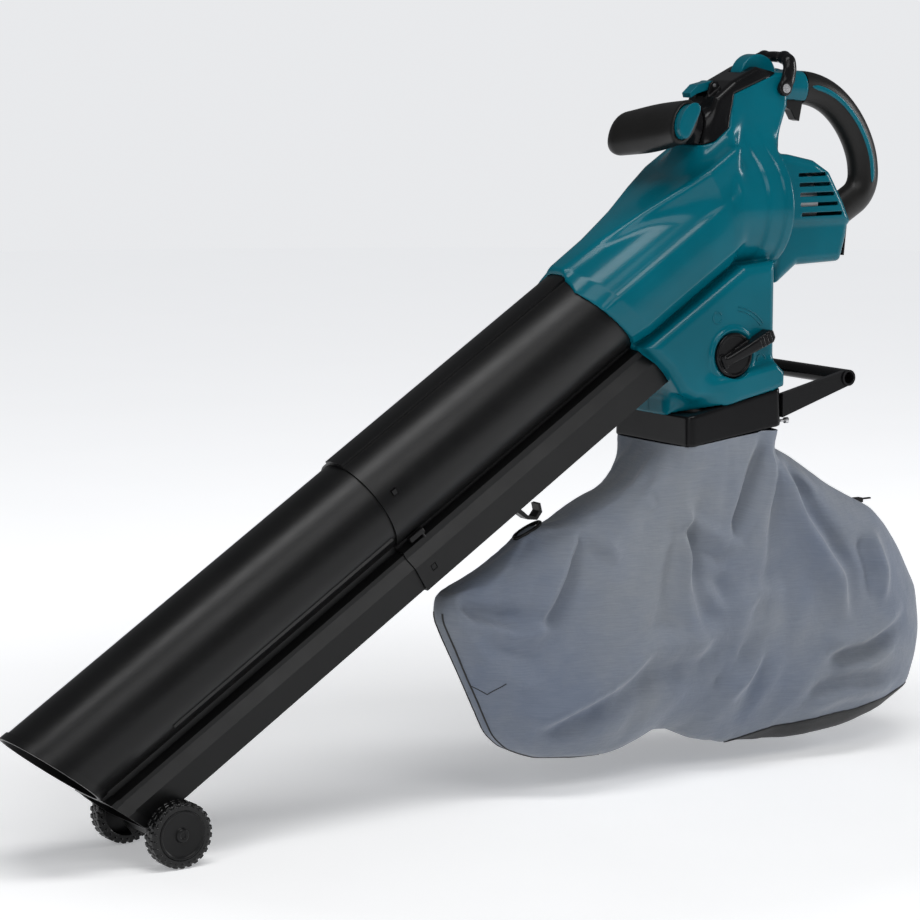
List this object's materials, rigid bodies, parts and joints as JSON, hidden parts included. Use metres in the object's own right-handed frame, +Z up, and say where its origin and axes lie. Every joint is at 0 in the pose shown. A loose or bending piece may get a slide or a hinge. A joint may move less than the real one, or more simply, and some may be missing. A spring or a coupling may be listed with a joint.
{
  "type": "leaf blower vacuum",
  "caption": "Hand-held leaf blower and vacuum with a two-piece wheeled nozzle, loop handle, swivelling front grip and a hanging dust bag.",
  "frame": {"origin": "the strap hanger's pivot axis, on the symmetry plane", "axes": "+Z up with the nozzle sloping down to -X as the machine is carried; +X is the rear, -Y is the machine's left side, where the change-over lever is"},
  "size_m": [1.4314, 0.186, 0.9666],
  "materials": {
    "teal": "gloss",
    "black_gloss": "gloss",
    "black_satin": "satin",
    "black_rubber": "satin",
    "grip_core": "satin",
    "tyre_black": "satin",
    "impeller_plastic": "satin",
    "steel": "satin",
    "motor_iron": "satin",
    "motor_alloy": "satin",
    "terminal_brass": "satin",
    "bag_cloth": "matte",
    "zip_tape": "matte"
  },
  "bodies": {
    "machine": {"housing_left": "teal", "housing_right": "teal", "housing_screws": "steel", "neck_cover": "black_gloss", "handle_grip": "black_rubber", "hanger_screws": "steel", "dial_pin": "steel", "trigger_pin": "steel", "switch_body": "black_satin", "trigger_spring": "steel", "lock_lever_pin": "steel", "outlet_collar": "black_gloss", "rear_stand": "black_gloss", "collar_screws": "steel", "inlet_plate": "black_satin", "motor_stator": "motor_iron", "motor_can": "motor_alloy", "bearing_front": "steel", "bearing_rear": "steel", "controller": "black_satin", "battery_rails": "black_gloss", "battery_terminal": "terminal_brass", "nozzle_upper": "black_satin", "nozzle_lower": "black_satin", "bag_hook_bracket": "black_satin", "wheel_bracket": "black_satin", "dust_bag": "bag_cloth", "bag_zip": "zip_tape"},
    "fan": {"impeller": "impeller_plastic", "shredder_blade": "steel", "shaft_nut": "steel", "motor_shaft": "steel", "motor_rotor": "motor_iron"},
    "trigger": {"trigger": "black_satin"},
    "speed_dial": {"speed_dial": "teal"},
    "hanger": {"hanger_bail": "black_gloss"},
    "front_grip": {"grip_arm": "grip_core", "front_grip": "black_rubber", "grip_cap_left": "teal", "grip_cap_right": "teal"},
    "grip_lock": {"grip_lock_lever": "teal"},
    "change_lever": {"change_lever": "black_gloss", "flap": "black_satin"},
    "bag_hook": {"bag_hook": "black_satin"},
    "nozzle_latch": {"nozzle_latch": "black_satin"},
    "wheel_carriage": {"wheel_carriage": "black_satin", "wheel_axle": "steel", "axle_clips": "steel"},
    "wheel_left": {"wheel_hub_left": "black_satin", "wheel_tyre_left": "tyre_black"},
    "wheel_right": {"wheel_hub_right": "black_satin", "wheel_tyre_right": "tyre_black"}
  },
  "joints": [
    {"name": "fan_spin", "type": "hinge", "parent": "machine", "child": "fan", "pos_m": [0, 0, -0.157], "axis": [1, 0, 0], "continuous": true},
    {"name": "trigger_pull", "type": "hinge", "parent": "machine", "child": "trigger", "pos_m": [0.02, 0, -0.015], "axis": [0, -1, 0], "range_deg": [0, 10], "stiffness_Nm_per_rad": 1, "springref_deg": -8.59, "deforming": ["trigger_spring"]},
    {"name": "dial_turn", "type": "hinge", "parent": "machine", "child": "speed_dial", "pos_m": [-0.024, 0, 0.014], "axis": [0, 1, 0], "range_deg": [-35, 35]},
    {"name": "hanger_swing", "type": "hinge", "parent": "machine", "child": "hanger", "pos_m": [0, 0, 0], "axis": [0, 1, 0], "range_deg": [-5, 22]},
    {"name": "front_grip_swivel", "type": "hinge", "parent": "machine", "child": "front_grip", "pos_m": [-0.15, 0, -0.05], "axis": [-1, 0, 0], "range_deg": [-30, 30]},
    {"name": "grip_lock_flip", "type": "hinge", "parent": "machine", "child": "grip_lock", "pos_m": [-0.1, 0, 0.005], "axis": [0, 1, 0], "range_deg": [0, 100]},
    {"name": "change_over", "type": "hinge", "parent": "machine", "child": "change_lever", "pos_m": [-0.114, 0, -0.3475], "axis": [0, -1, 0], "range_deg": [0, 85]},
    {"name": "bag_hook_swing", "type": "hinge", "parent": "machine", "child": "bag_hook", "pos_m": [-0.42158, 0, -0.52873], "axis": [0, 1, 0], "range_deg": [-25, 12]},
    {"name": "nozzle_latch_press", "type": "hinge", "parent": "machine", "child": "nozzle_latch", "pos_m": [-0.58569, -0.0485, -0.54312], "axis": [-0.5388, 0, 0.8425], "range_deg": [0, 12], "stiffness_Nm_per_rad": 0.05, "springref_deg": -5.73},
    {"name": "wheel_height", "type": "slide", "parent": "machine", "child": "wheel_carriage", "axis": [0.5388, 0, -0.8425], "range_m": [0, 0.02]},
    {"name": "wheel_left_spin", "type": "hinge", "parent": "wheel_carriage", "child": "wheel_left", "pos_m": [-0.9499, 0, -0.87753], "axis": [0, 1, 0], "continuous": true},
    {"name": "wheel_right_spin", "type": "hinge", "parent": "wheel_carriage", "child": "wheel_right", "pos_m": [-0.9499, 0, -0.87753], "axis": [0, 1, 0], "continuous": true}
  ]
}
